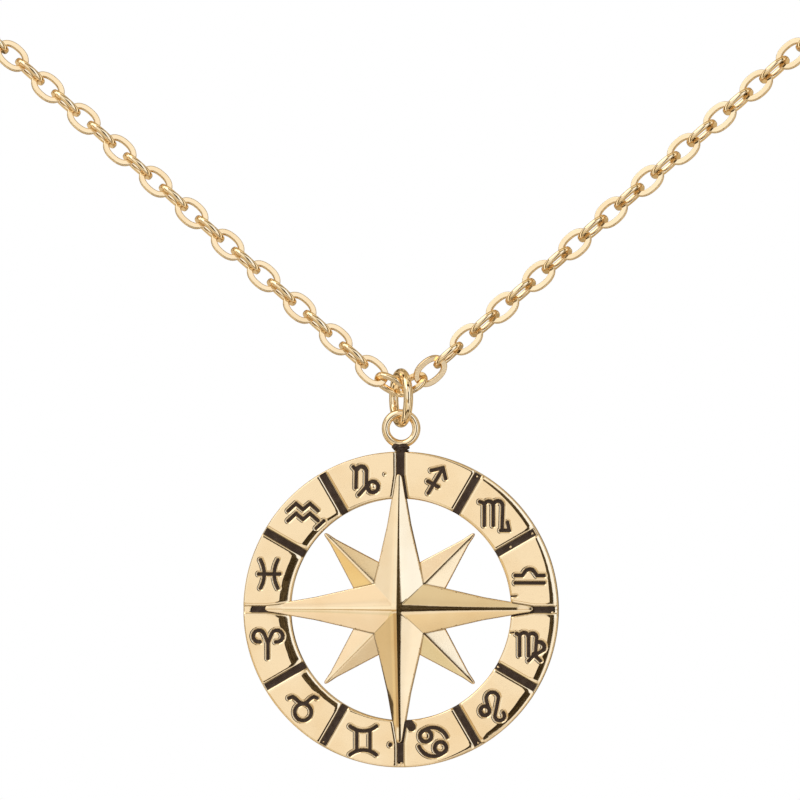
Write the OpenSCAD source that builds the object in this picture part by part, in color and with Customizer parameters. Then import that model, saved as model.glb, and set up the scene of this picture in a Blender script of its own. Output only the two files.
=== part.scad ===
// Zodiac pendant on a flat cable chain.
// Z is up and the front of the pendant faces -Y. The origin is at the nape of the neck,
// on the inner face of the clasp, and the chain is a whole loop that hangs as it is worn.

/* [Zodiac ring] */
// Outer diameter of the ring
ring_od = 30; // [29:0.5:31]
// Width of the ring's band
ring_band = 4.47; // [4.3:0.05:4.6]
// Thickness of the ring
ring_t = 1.7; // [1.6:0.1:2.2]
// Width of the rounded edges of the band
ring_round = 0.45; // [0.2:0.05:0.6]

/* [Engraving] */
// Width of the black lines of the twelve signs
sign_line = 0.42; // [0.34:0.02:0.46]
// Width of the twelve black dividers
divider_w = 0.56; // [0.4:0.02:0.7]
// Depth of the engraved lines
engrave_d = 0.4; // [0.3:0.05:0.6]
// Space between the enamel and the engraved walls
enamel_gap = 0.04; // [0.02:0.01:0.08]
// Depth of the enamel's surface under the ring's face
enamel_low = 0.06; // [0.02:0.01:0.15]

/* [Compass star] */
// Distance of the four long tips from the centre
long_r = 12.76; // [12.2:0.02:13.2]
// Distance of the four short tips from the centre
short_r = 9.93; // [9.4:0.01:10.1]
// Distance of the corners between the long points from the centre
waist_r = 3.37; // [3:0.01:3.8]
// Height of the crown of the star over its back
crown_h = 2.4; // [2.1:0.1:2.8]

/* [Loop and jump ring] */
// Outer diameter of the loop that is soldered to the ring
loop_od = 3.7; // [3.5:0.05:3.9]
// Wire of the loop
loop_wire = 0.78; // [0.7:0.02:0.84]
// Outer diameter of the jump ring
jump_od = 5.64; // [5.6:0.02:5.8]
// Wire of the jump ring
jump_wire = 0.9; // [0.8:0.02:0.9]
// Turn of the jump ring from the plane across the chain, in degrees
jump_turn = 22; // [21:1:30]

/* [Chain] */
// Outer length of a link
link_l = 3.54; // [3.5:0.01:3.58]
// Outer width of a link
link_w = 2.54; // [2.5:0.01:2.6]
// Width of a link's wire, across its flat face
link_band = 0.52; // [0.48:0.01:0.53]
// Thickness of a link
link_t = 0.5; // [0.44:0.01:0.52]
// Distance from one link to the next
link_pitch = 2.286; // [2.26:0.002:2.3]
// Links on each side, from the pendant to the clasp
side_links = 97; // [93:2:101]
// Slope of the straight chain above the pendant, in degrees
front_climb = 41.1; // [40:0.1:42]

/* [Clasp] */
// Thickness of the clasp
clasp_t = 1; // [0.9:0.05:1.1]
// Distance from the middle of the clasp to each end link's joint
clasp_half = 4.4; // [4.2:0.1:5]

/* [Hidden] */
$fn = 48;
gold = "goldenrod";
enamel_black = "dimgray";

// The ring's own frame has X right, Y up and Z towards the viewer, with its back at Z 0.
ring_r = ring_od / 2;
hole_r = ring_r - ring_band;
floor_z = ring_t - engrave_d;
dividers = 12;
sector = 360 / dividers;

// The star lies a little to the left of the middle, as cast.
star_shift = [-0.16, 0.08, 0];
long_back = 0.2;
short_back = 0.3;
long_edge = ring_t - 0.15;
short_edge = ring_t - 0.6;
// The short points' ridges meet the long points' corners, 0.15 over their edges.
short_top = short_edge + (long_edge - short_edge + 0.15) * short_r / (short_r - waist_r);

// Each row is a sign's turn from the top in degrees, and its distance from the centre.
sign_places = [
    [15.8, 12.77],  // sagittarius
    [45.0, 12.65],  // scorpio
    [75.5, 12.73],  // libra
    [105.5, 12.84], // virgo
    [136.2, 12.79], // leo
    [166.0, 12.95], // cancer
    [195.8, 12.94], // gemini
    [225.4, 13.03], // taurus
    [255.3, 13.06], // aries
    [285.0, 12.95], // pisces
    [314.9, 13.09], // aquarius
    [344.7, 12.63]  // capricorn
];

// The loop stands on a solder neck, and the jump ring's wire rests under the top of its hole.
loop_r = (loop_od - loop_wire) / 2;
loop_y = ring_r + 2.19;
loop_z = 0.87;
neck_r = 0.6;
bail_gap = 0.07;
jump_r = (jump_od - jump_wire) / 2;
jump_y = loop_y + loop_r - loop_wire / 2 - bail_gap - jump_wire / 2 + jump_r;

// The first two links of the chain join inside the jump ring, above its middle.
apex_y = jump_y + 0.78;
// The first joint lies a little past the apex, which leaves the first two links room to bend.
apex_slack = 0.1;

// A side of the chain runs straight up from the pendant, turns back past the collar bone,
// runs along the side of the neck and turns in to the nape.
front_links = 22;
corner_links = 21;
nape_links = 44;
ease_links = 16;
apex_climb = 28;
side_climb = 12;
turn_back = 180;

// Roll of a link about its length: 0 faces outwards and 90 faces up.
link_lean = 18;
left_rolls = [128];
right_rolls = [52, -15, 100];

link_hole = link_l - 2 * link_band;
link_slack = link_hole - link_pitch;
link_chamfer = 0.16;

function smooth(t) = t * t * (3 - 2 * t);

function heading(i, side) =
    i <= front_links ? 0
    : i <= front_links + corner_links ? side * (i - front_links) / corner_links
    : i <= side_links - nape_links ? side
    : side + (turn_back - side) * (i - side_links + nape_links) / nape_links;

function climb(i) =
    i == 1 ? apex_climb
    : i <= front_links ? front_climb
    : i <= front_links + ease_links
        ? front_climb + (side_climb - front_climb) * smooth((i - front_links) / ease_links)
    : i <= side_links - nape_links ? side_climb
    : side_climb * (1 - smooth((i - side_links + nape_links) / nape_links));

function link_step(i, side) =
    link_pitch * [
        cos(climb(i)) * cos(heading(i, side)),
        cos(climb(i)) * sin(heading(i, side)),
        sin(climb(i))
    ];

function reach(side, i = 1) = i > side_links ? 0 : link_step(i, side).x + reach(side, i + 1);

// The heading along the side of the neck that brings both halves to the clasp.
function closing_turn(low, high, tries = 24) =
    let (mid = (low + high) / 2)
    tries == 0 ? mid
    : start.x + reach(mid) > clasp_half ? closing_turn(mid, high, tries - 1)
    : closing_turn(low, mid, tries - 1);

start = -apex_slack * [cos(apex_climb), 0, sin(apex_climb)];
side_heading = closing_turn(60, 130);
joints = [
    for (p = start, i = 0; i <= side_links; p = p + link_step(i + 1, side_heading), i = i + 1) p
];
nape = joints[side_links];
apex = [0, clasp_t / 2 - nape.y, -nape.z];

// Points of an arc from angle a to angle b.
function arc(c, r, a, b, n = 8) =
    [for (i = [0 : n]) let (t = a + (b - a) * i / n) c + r * [cos(t), sin(t)]];

// The same points, mirrored left to right.
function flip(p) = [for (i = [len(p) - 1 : -1 : 0]) [-p[i].x, p[i].y]];

function unit(v) = v / norm(v);

// The point beside p[i] at half the line's width, on the left for w > 0.
function beside(p, i, w) =
    let (
        last = len(p) - 1,
        u = unit(p[max(i, 1)] - p[max(i, 1) - 1]),
        v = unit(p[min(i, last - 1) + 1] - p[min(i, last - 1)]),
        m = unit(u + v)
    )
    p[i] + [-m.y, m.x] * w / 2 / (m * u);

// A line of width w along the points p, with round ends.
module stroke(p, w) {
    last = len(p) - 1;
    first_turn = atan2(p[1].y - p[0].y, p[1].x - p[0].x);
    last_turn = atan2(p[last].y - p[last - 1].y, p[last].x - p[last - 1].x);
    cap = [72, 36, 0, -36, -72];
    polygon(concat(
        [for (i = [0 : last]) beside(p, i, w)],
        [for (a = cap) p[last] + w / 2 * [cos(last_turn + a), sin(last_turn + a)]],
        [for (i = [last : -1 : 0]) beside(p, i, -w)],
        [for (a = cap) p[0] - w / 2 * [cos(first_turn + a), sin(first_turn + a)]]
    ));
}

// A circular line of width w, in two halves that overlap.
module round_line(c, r, w) {
    for (a = [0, 180]) stroke(arc(c, r, a - 8, a + 188, 14), w);
}

// The twelve signs, each about its own middle.
module sagittarius(w) {
    stroke([[-0.51, 0.93], [0.60, 1.18], [0.84, 0.16]], w);
    stroke([[0.55, 1.08], [-0.80, -1.22]], w);
    stroke([[-0.84, -0.10], [0.14, -0.64]], w);
}

module scorpio(w) {
    stroke([[-1.36, 1.30], [-0.94, 1.16], [-0.94, -0.94]], w);
    stroke(concat(arc([-0.51, 0.94], 0.42, 150, 0), [[-0.09, -0.94]]), w);
    stroke(concat(arc([0.36, 0.92], 0.46, 150, 0), [[0.74, -1.40]]), w);
    stroke([[0.64, -1.42], [1.44, -1.42], [1.27, -0.66]], w);
}

module libra(w) {
    stroke([[-1.36, -0.64], [1.36, -0.64]], w);
    stroke(concat([[-1.36, 0.06], [-0.70, 0.06]], arc([0, 0.10], 0.56, 155, 25), [[0.70, 0.06], [1.36, 0.06]]), w);
}

module virgo(w) {
    stroke([[-1.30, 1.16], [-1.01, 1.04], [-1.01, -0.92]], w);
    stroke(concat(arc([-0.58, 0.84], 0.42, 150, 0), [[-0.16, -0.92]]), w);
    stroke(concat(arc([0.22, 0.80], 0.40, 150, 0), [[0.50, -0.70], [-0.14, -1.40]]), w);
    stroke(concat(arc([0.88, -0.10], 0.48, 130, -40), [[0.45, -0.86]]), w);
    stroke([[0.30, -0.76], [0.96, -1.40]], w);
}

module leo(w) {
    round_line([-0.77, -0.37], 0.41, w);
    stroke(concat(
        [[-0.40, -0.20], [-0.62, 0.50]],
        arc([-0.08, 0.80], 0.60, 175, 10),
        [[0.30, -0.16]],
        arc([0.62, -0.84], 0.46, 175, 400)
    ), w);
}

module cancer(w) {
    for (a = [0, 180]) rotate(a) {
        round_line([-0.71, 0.56], 0.56, w);
        stroke(arc([-0.03, -0.10], 1.47, 22, 146, 12), w);
    }
}

module gemini(w) {
    for (s = [-1, 1]) {
        stroke([[0.63 * s, -1.00], [0.63 * s, 1.00]], w);
        stroke([for (p = arc([0, 2.85], 1.95, 230, 310)) [p.x, s * p.y]], w);
    }
}

module taurus(w) {
    horn = [[0, 0.18], [0.38, 0.34], [0.70, 0.66], [1.02, 0.84], [1.34, 0.72]];
    round_line([0, -0.62], 0.80, w);
    stroke(concat(flip(horn), [for (i = [1 : len(horn) - 1]) horn[i]]), w);
}

module aries(w) {
    horn = concat([[0, 0.1]], arc([0.86, 0.76], 0.56, 155, -100));
    stroke([[0, -1.34], [0, 0.2]], w);
    stroke(horn, w);
    stroke(flip(horn), w);
}

module pisces(w) {
    stroke(arc([-3.23, 0], 2.75, -29, 29), w);
    stroke(arc([3.23, 0], 2.75, 151, 209), w);
    stroke([[-1.00, 0], [1.00, 0]], w);
}

module aquarius(w) {
    for (y = [-0.47, 0.47])
        translate([0, y])
            stroke([[-1.42, -0.35], [-0.67, 0.35], [0, -0.22], [0.66, 0.35], [1.42, -0.33]], w);
}

module capricorn(w) {
    stroke([[-1.14, 1.36], [-0.86, 1.06], [-0.90, -0.60]], w);
    stroke(concat(arc([-0.38, 0.92], 0.50, 160, 0), [[0.10, -0.50], [-0.60, -1.30]]), w);
    round_line([0.70, -0.52], 0.47, w);
}

module sign(i, w) {
    if (i == 0) sagittarius(w);
    if (i == 1) scorpio(w);
    if (i == 2) libra(w);
    if (i == 3) virgo(w);
    if (i == 4) leo(w);
    if (i == 5) cancer(w);
    if (i == 6) gemini(w);
    if (i == 7) taurus(w);
    if (i == 8) aries(w);
    if (i == 9) pisces(w);
    if (i == 10) aquarius(w);
    if (i == 11) capricorn(w);
}

// Puts a sign upright at its place on the band.
module at_sign(i) {
    turn = sign_places[i][0];
    translate(sign_places[i][1] * [sin(turn), cos(turn)]) children();
}

// The ring's band, with rounded edges round its face and bevelled edges round its back.
module ring_body() {
    back_bevel = 0.15;
    face = [for (a = [0 : 30 : 90]) ring_round * [1 - cos(a), sin(a) - 1]];
    rotate_extrude($fn = 128) polygon(concat(
        [[hole_r, back_bevel], [hole_r + back_bevel, 0], [ring_r - back_bevel, 0], [ring_r, back_bevel]],
        [for (p = face) [ring_r - p.x, ring_t + p.y]],
        [for (i = [len(face) - 1 : -1 : 0]) [hole_r + face[i].x, ring_t + face[i].y]]
    ));
}

// A pointed star with straight ridges: its top falls from the crown to the tips and the corners.
module ridged_star(tip_r, corner_r, back_h, edge_h, top_h) {
    turns = [0 : 45 : 315];
    outline = [for (a = turns) (a % 90 == 0 ? tip_r : corner_r) * [cos(a), sin(a)]];
    n = len(outline);
    polyhedron(
        points = concat(
            [for (p = outline) [p.x, p.y, back_h]],
            [for (p = outline) [p.x, p.y, edge_h]],
            [[0, 0, top_h], [0, 0, back_h]]
        ),
        faces = concat(
            [for (i = [0 : n - 1]) [i, (i + 1) % n, 2 * n + 1]],
            [for (i = [0 : n - 1]) [i, i + n, (i + 1) % n + n, (i + 1) % n]],
            [for (i = [0 : n - 1]) [i + n, 2 * n, (i + 1) % n + n]]
        )
    );
}

module star() {
    translate(star_shift) {
        ridged_star(long_r, waist_r, long_back, long_edge, crown_h + long_back);
        rotate(45) ridged_star(short_r, waist_r, short_back, short_edge, short_top);
    }
}

// The soldered loop and its neck.
module loop() {
    translate([0, loop_y, loop_z]) rotate_extrude() translate([loop_r, 0]) circle(loop_wire / 2, $fn = 24);
    translate([0, ring_r - 0.4, loop_z]) rotate([-90, 0, 0]) cylinder(r = neck_r, h = 1.0, $fn = 24);
}

// A divider's groove, or its enamel, from radius a to radius b.
module divider(a, b, w) {
    translate([-w / 2, a]) square([w, b - a]);
}

// The recess in which a long tip lies, a little wider than the tip.
module tip_recess() {
    tip_gap = 0.22;
    corner = waist_r / sqrt(2);
    slope = corner / (long_r - corner);
    half = (long_r + tip_gap - hole_r) * slope + tip_gap;
    polygon([[-half, hole_r - 0.5], [half, hole_r - 0.5], [divider_w / 2, long_r], [-divider_w / 2, long_r]]);
}

module engraving() {
    past = 0.2;
    for (i = [0 : dividers - 1]) rotate(i * sector) divider(hole_r - past, ring_r + past, divider_w);
    for (i = [0 : 3]) rotate(i * 90) tip_recess();
}

// Moves children from the ring's own frame to where the pendant hangs.
module hang() {
    translate(apex - [0, -loop_z, apex_y]) rotate([90, 0, 0]) children();
}

module compass_pendant() {
    color(gold) hang() {
        difference() {
            ring_body();
            translate([0, 0, floor_z]) linear_extrude(engrave_d + 0.1) engraving();
            for (i = [0 : len(sign_places) - 1])
                translate([0, 0, floor_z]) linear_extrude(engrave_d + 0.1)
                    at_sign(i) sign(i, sign_line + 2 * enamel_gap);
        }
        star();
        loop();
    }
}

module black_enamel() {
    bottom = floor_z + enamel_gap;
    height = engrave_d - enamel_gap - enamel_low;
    line = divider_w - 2 * enamel_gap;
    rim = ring_r - ring_round;
    color(enamel_black) hang() {
        translate([0, 0, bottom]) linear_extrude(height) {
            for (i = [0 : len(sign_places) - 1]) at_sign(i) sign(i, sign_line);
            for (i = [0 : dividers - 1])
                rotate(i * sector) divider(i % 3 == 0 ? long_r + 0.3 : hole_r + ring_round, rim, line);
        }
    }
}

module jump_ring() {
    color(gold) hang() translate([0, jump_y, loop_z]) rotate([0, 90 + jump_turn, 0])
        rotate_extrude($fn = 64) translate([jump_r, 0]) circle(jump_wire / 2, $fn = 24);
}

// Section of a link's wire, bevelled on both flat faces, about the middle of the wire.
module wire_section() {
    b = link_band / 2;
    h = link_t / 2;
    c = link_chamfer;
    polygon([[b, h - c], [b - c, h], [c - b, h], [-b, h - c], [-b, c - h], [c - b, -h], [b - c, -h], [b, c - h]]);
}

// One oval link, with its length along X and its flat faces across Z.
module chain_link() {
    bend = (link_w - link_band) / 2;
    straight = link_l - link_w;
    for (s = [0, 180]) rotate(s) {
        translate([straight / 2, 0, 0]) rotate(-90) rotate_extrude(angle = 180) translate([bend, 0]) wire_section();
        translate([straight / 2, bend, 0]) rotate([0, -90, 0]) rotate(90) linear_extrude(straight) wire_section();
    }
}

function roll(i, s) =
    let (
        first = s > 0 ? right_rolls : left_rolls,
        lean = link_lean * (1 - smooth(max(0, i - front_links) / (side_links - front_links)))
    )
    i <= len(first) ? first[i - 1] : i % 2 == 1 ? 90 + lean : lean;

// Places a link between its two joints, on the right for s 1 and on the left for s -1.
module at_link(i, s) {
    a = joints[i - 1];
    b = joints[i];
    mid = (a + b) / 2;
    along = unit([s * (b.x - a.x), b.y - a.y, b.z - a.z]);
    turn = heading(i, side_heading);
    out = [s * sin(turn), -cos(turn), 0];
    up = s * cross(out, along);
    face = cos(roll(i, s)) * out + sin(roll(i, s)) * up;
    across = cross(face, along);
    translate(apex) multmatrix([
        [along.x, across.x, face.x, s * mid.x],
        [along.y, across.y, face.y, mid.y],
        [along.z, across.z, face.z, mid.z],
        [0, 0, 0, 1]
    ]) children();
}

module chain_left() {
    color(gold) for (i = [1 : side_links]) at_link(i, -1) chain_link();
}

module chain_right() {
    color(gold) for (i = [1 : side_links]) at_link(i, 1) chain_link();
}

// A plain closed clasp: an eye for the left end of the chain and a hook ring for the right end.
module clasp() {
    wall = 0.65;
    eye_hole = 0.75;
    hook_hole = 1.55;
    end_room = 0.14;
    end = clasp_half + link_slack / 2 + end_room;
    eye_x = eye_hole - end;
    hook_x = end - hook_hole;
    tab_r = 0.55;
    color(gold) translate([0, clasp_t, 0]) rotate([90, 0, 0]) linear_extrude(clasp_t) difference() {
        union() {
            translate([eye_x, 0]) circle(eye_hole + wall);
            translate([hook_x, 0]) circle(hook_hole + wall);
            polygon([[eye_x, -1.1], [hook_x, -hook_hole - 0.45], [hook_x, hook_hole + 0.45], [eye_x, 1.1]]);
            translate([hook_x - 0.8, hook_hole + wall]) circle(tab_r);
        }
        translate([eye_x, 0]) circle(eye_hole);
        translate([hook_x, 0]) circle(hook_hole);
    }
}

compass_pendant();
black_enamel();
jump_ring();
chain_left();
chain_right();
clasp();
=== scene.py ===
import math

import bpy
import numpy as np
from mathutils.geometry import delaunay_2d_cdt
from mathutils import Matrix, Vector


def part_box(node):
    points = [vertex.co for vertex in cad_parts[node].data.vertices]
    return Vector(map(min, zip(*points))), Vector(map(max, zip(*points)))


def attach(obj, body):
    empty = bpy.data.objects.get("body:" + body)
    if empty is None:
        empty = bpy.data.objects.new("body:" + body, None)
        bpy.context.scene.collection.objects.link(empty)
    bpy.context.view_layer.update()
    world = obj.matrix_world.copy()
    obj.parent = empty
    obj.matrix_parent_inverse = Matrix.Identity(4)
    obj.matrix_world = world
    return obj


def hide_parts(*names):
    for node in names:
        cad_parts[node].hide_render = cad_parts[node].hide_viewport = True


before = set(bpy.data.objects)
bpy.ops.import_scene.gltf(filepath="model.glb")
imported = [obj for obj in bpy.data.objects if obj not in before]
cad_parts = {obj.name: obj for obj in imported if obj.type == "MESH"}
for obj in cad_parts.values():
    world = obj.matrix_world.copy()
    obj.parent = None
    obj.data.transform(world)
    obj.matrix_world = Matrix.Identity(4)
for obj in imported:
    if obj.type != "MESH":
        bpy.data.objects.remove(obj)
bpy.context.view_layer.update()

# Zodiac ring
# A flat ring with twelve engraved tiles, cast in brass and plated with pale, warm gold. It is polished
# by hand, which left slopes at the tiles' edges, fine lines, a slight grain, a few pores and deeper tones.
MM = 0.001
PLATE_PALE = (0.95, 0.75, 0.47, 1.0)
PLATE_DEEP = (0.8, 0.53, 0.24, 1.0)
# Dark colour of the residue left in the cuts, also used to paint shade on the star.
DARK_RESIDUE_AND_SHADE = (0.045, 0.026, 0.012, 1.0)


def add_node(tree, kind, sockets=None, **settings):
    made = tree.nodes.new(kind)
    for name, value in settings.items():
        setattr(made, name, value)
    for name, value in (sockets or {}).items():
        if isinstance(value, bpy.types.NodeSocket):
            tree.links.new(value, made.inputs[name])
        else:
            made.inputs[name].default_value = value
    return made


def maths(tree, operation, a, b=0.0):
    return add_node(tree, "ShaderNodeMath", {0: a, 1: b}, operation=operation).outputs["Value"]


def noise(tree, place, scale, detail=2.0, roughness=0.5):
    sockets = {"Vector": place, "Scale": scale, "Detail": detail, "Roughness": roughness}
    return add_node(tree, "ShaderNodeTexNoise", sockets).outputs["Fac"]


def ramp(tree, value, low, high, first=0.0, last=1.0, shape="LINEAR"):
    sockets = {"Value": value, "From Min": low, "From Max": high, "To Min": first, "To Max": last}
    return add_node(tree, "ShaderNodeMapRange", sockets, interpolation_type=shape).outputs["Result"]


def mix(tree, share, first, second):
    sockets = {"Factor": share, 6: first, 7: second}
    return add_node(tree, "ShaderNodeMix", sockets, data_type="RGBA").outputs[2]


def relief(tree, height, strength, depth):
    sockets = {"Height": height, "Strength": strength, "Distance": depth * MM}
    return add_node(tree, "ShaderNodeBump", sockets).outputs["Normal"]


def effect_group(name, inputs, outputs):
    """A shader group that takes a position in mm and some numbers, and gives numbers."""
    tree = bpy.data.node_groups.new(name, "ShaderNodeTree")
    tree.interface.new_socket("Position", in_out="INPUT", socket_type="NodeSocketVector")
    for way, titles in (("INPUT", inputs), ("OUTPUT", outputs)):
        for title in titles:
            tree.interface.new_socket(title, in_out=way, socket_type="NodeSocketFloat")
    return tree, tree.nodes.new("NodeGroupInput").outputs, tree.nodes.new("NodeGroupOutput").inputs


def use_group(tree, group, **sockets):
    return add_node(tree, "ShaderNodeGroup", sockets, node_tree=group).outputs


def cloth_lines(tree, place, turn, stretch, scale):
    """Noise drawn out along one direction, as a polishing cloth leaves it."""
    mapped = add_node(tree, "ShaderNodeMapping", {"Vector": place, "Rotation": turn, "Scale": stretch})
    return noise(tree, mapped.outputs["Vector"], scale, roughness=0.6)


# Fine polishing lines in two crossed directions.
polish_group, given, result = effect_group("polishing_lines", [], ["Height", "Haze"])
lines_a = cloth_lines(polish_group, given["Position"], (0.3, 0.2, 0.6), (1.0, 14.0, 14.0), 1.6)
lines_b = cloth_lines(polish_group, given["Position"], (-0.2, 0.9, -0.7), (14.0, 1.2, 14.0), 1.4)
lines = maths(polish_group, "MULTIPLY", lines_a, lines_b)
haze = maths(polish_group, "MULTIPLY", lines, noise(polish_group, given["Position"], 0.35, 3.0))
polish_group.links.new(lines, result["Height"])
polish_group.links.new(haze, result["Haze"])

# The skin that the casting leaves: a fine grain, and a few small pores.
cast_group, given, result = effect_group("casting_skin", ["Grain", "Pores"], ["Height", "Pore"])
grain = noise(cast_group, given["Position"], 5.5, 4.0, 0.65)
grain = maths(cast_group, "MULTIPLY", grain, given["Grain"])
cells = add_node(cast_group, "ShaderNodeTexVoronoi", {"Vector": given["Position"], "Scale": 1.1}).outputs
chosen = maths(cast_group, "LESS_THAN", cells["Color"], given["Pores"])
pore = maths(cast_group, "MULTIPLY", ramp(cast_group, cells["Distance"], 0.03, 0.075, 1.0, 0.0), chosen)
cast_group.links.new(maths(cast_group, "SUBTRACT", grain, pore), result["Height"])
cast_group.links.new(pore, result["Pore"])

# Places where the plate is a little deeper in tone.
tone_group, given, result = effect_group("plate_tone", ["Size"], ["Deep"])
patches = noise(tone_group, given["Position"], given["Size"], 3.0, 0.55)
tone_group.links.new(ramp(tone_group, patches, 0.45, 0.75, 0.0, 0.35), result["Deep"])


def new_material(name):
    material = bpy.data.materials.new(name)
    material.use_nodes = True
    material.node_tree.nodes.clear()
    return material, material.node_tree


def position_in_mm(tree):
    place = add_node(tree, "ShaderNodeTexCoord").outputs["Object"]
    return add_node(tree, "ShaderNodeVectorMath", {0: place, "Scale": 1 / MM}, operation="SCALE").outputs[0]


def cover(tree, sockets):
    surface = add_node(tree, "ShaderNodeBsdfPrincipled", sockets)
    tree.links.new(surface.outputs["BSDF"], tree.nodes.new("ShaderNodeOutputMaterial").inputs["Surface"])


def gold(name, grain, pores, smooth, rough, bump):
    """Plated metal: smooth and rough are its roughness where it is clear and where it is hazy."""
    material, tree = new_material(name)
    place = position_in_mm(tree)
    polish = use_group(tree, polish_group, Position=place)
    cast = use_group(tree, cast_group, Position=place, Grain=grain, Pores=pores)
    tone = use_group(tree, tone_group, Position=place, Size=0.22)
    deep = maths(tree, "MAXIMUM", tone["Deep"], cast["Pore"])
    # This attribute darkens the plate: real residue on the ring's cut walls, and painted shade and dark
    # lines on the star.
    residue_and_shade_share = add_node(tree, "ShaderNodeAttribute", attribute_name="residue_and_shade").outputs["Fac"]
    height = maths(tree, "ADD", polish["Height"], cast["Height"])
    cover(tree, {
        "Base Color": mix(tree, residue_and_shade_share, mix(tree, deep, PLATE_PALE, PLATE_DEEP), DARK_RESIDUE_AND_SHADE),
        "Metallic": 1.0,
        "Roughness": ramp(tree, polish["Haze"], 0.05, 0.3, smooth, rough),
        "Normal": relief(tree, height, bump, 0.003),
    })
    return material


polished_gold = gold("polished_gold", grain=0.35, pores=0.1, smooth=0.05, rough=0.14, bump=0.35)

# Sizes in mm. Grooves are counted from the top, clockwise.
ring_r = 15.0
hole_r = 10.53
ring_t = 1.7
engrave_d = 0.4
back_bevel = 0.15
tile_turn = 30
groove_half = (0.35, 0.3, 0.29, 0.27, 0.29, 0.29, 0.27, 0.29, 0.29, 0.27, 0.29, 0.29)
groove_end = (15.2, 14.83, 14.7, 15.2, 14.77, 14.78, 15.2, 14.76, 14.77, 15.2, 14.85, 14.83)
fill_end = {3: 14.6, 6: 14.52, 9: 14.19}
fill_slant = {9: 0.33}
empty_depth = 0.12
empty_run = 0.12
long_r = 12.76
tip_flare = {0: 0.15, 3: 0.17, 6: 0.17, 9: 0.1}
line_half = 0.168

pendant_low, pendant_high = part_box("compass_pendant")
pendant_x = (pendant_low.x + pendant_high.x) / 2


def hung(points):
    """Points in mm from the middle of the ring's back (right, up, towards the viewer), in the row frame."""
    x, y, z = np.moveaxis(np.asarray(points, float), -1, 0)
    up = pendant_low.z + (ring_r + y) * MM
    return np.stack([pendant_x + x * MM, pendant_high.y - z * MM, up], axis=-1)


def hung_way(normals):
    return np.stack([normals[..., 0], -normals[..., 2], normals[..., 1]], axis=-1)


def arc(x, y, r, first, last, n=10):
    turns = np.radians(np.linspace(first, last, n + 1))
    return [(x + r * math.cos(a), y + r * math.sin(a)) for a in turns]


def flip(points):
    return [(-x, y) for x, y in reversed(points)]


taurus_horn = [(0, 0.18), (0.38, 0.34), (0.7, 0.66), (1.02, 0.84), (1.34, 0.72)]
aries_horn = [(0, 0.1)] + arc(0.86, 0.76, 0.56, 155, -100)
wave = [(-1.42, -0.35), (-0.67, 0.35), (0, -0.22), (0.66, 0.35), (1.42, -0.33)]

# Each sign: its turn from the top, its distance from the middle, and its lines about its own middle.
signs = [
    (15.8, 12.77, [  # sagittarius
        [(-0.51, 0.93), (0.6, 1.18), (0.84, 0.16)],
        [(0.55, 1.08), (-0.8, -1.22)],
        [(-0.84, -0.1), (0.14, -0.64)],
    ]),
    (45.0, 12.65, [  # scorpio
        [(-1.36, 1.3), (-0.94, 1.16), (-0.94, -0.94)],
        arc(-0.51, 0.94, 0.42, 150, 0) + [(-0.09, -0.94)],
        arc(0.36, 0.92, 0.46, 150, 0) + [(0.74, -1.4)],
        [(0.64, -1.42), (1.44, -1.42), (1.27, -0.66)],
    ]),
    (75.5, 12.73, [  # libra
        [(-1.36, -0.64), (1.36, -0.64)],
        [(-1.36, 0.06), (-0.7, 0.06)] + arc(0, 0.1, 0.56, 155, 25) + [(0.7, 0.06), (1.36, 0.06)],
    ]),
    (105.5, 12.84, [  # virgo
        [(-1.3, 1.16), (-1.01, 1.04), (-1.01, -0.92)],
        arc(-0.58, 0.84, 0.42, 150, 0) + [(-0.16, -0.92)],
        arc(0.22, 0.8, 0.4, 150, 0) + [(0.5, -0.7), (-0.14, -1.4)],
        arc(0.88, -0.1, 0.48, 130, -40) + [(0.45, -0.86)],
        [(0.3, -0.76), (0.96, -1.4)],
    ]),
    (136.2, 12.79, [  # leo
        arc(-0.79, -0.37, 0.45, 0, 360, 20),
        [(-0.4, -0.2), (-0.62, 0.5)] + arc(-0.08, 0.8, 0.6, 175, 10)
        + [(0.3, -0.16)] + arc(0.62, -0.84, 0.46, 175, 400),
    ]),
    (166.0, 12.95, [  # cancer
        arc(-0.71, 0.56, 0.56, 0, 360, 24),
        arc(-0.03, -0.1, 1.47, 22, 146, 14),
        arc(0.71, -0.56, 0.56, 0, 360, 24),
        arc(0.03, 0.1, 1.47, 202, 326, 14),
    ]),
    (195.8, 12.94, [  # gemini
        [(0.63, -1.0), (0.63, 1.0)],
        [(-0.63, -1.0), (-0.63, 1.0)],
        arc(0, 2.85, 1.95, 230, 310),
        [(x, -y) for x, y in arc(0, 2.85, 1.95, 230, 310)],
    ]),
    (225.4, 13.03, [  # taurus
        arc(0, -0.62, 0.8, 0, 360, 28),
        flip(taurus_horn) + taurus_horn[1:],
    ]),
    (255.3, 13.06, [  # aries
        [(0, -1.34), (0, 0.2)],
        aries_horn,
        flip(aries_horn),
    ]),
    (285.0, 12.95, [  # pisces
        arc(-3.23, 0, 2.75, -29, 29),
        arc(3.23, 0, 2.75, 151, 209),
        [(-1.0, 0), (1.0, 0)],
    ]),
    (314.9, 13.09, [  # aquarius
        [(x, y + 0.47) for x, y in wave],
        [(x, y - 0.47) for x, y in wave],
    ]),
    (344.7, 12.63, [  # capricorn
        [(-1.14, 1.36), (-0.86, 1.06), (-0.9, -0.6)],
        arc(-0.38, 0.92, 0.5, 160, 0) + [(0.1, -0.5), (-0.6, -1.3)],
        arc(0.72, -0.54, 0.52, 0, 360, 20),
    ]),
]

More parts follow.
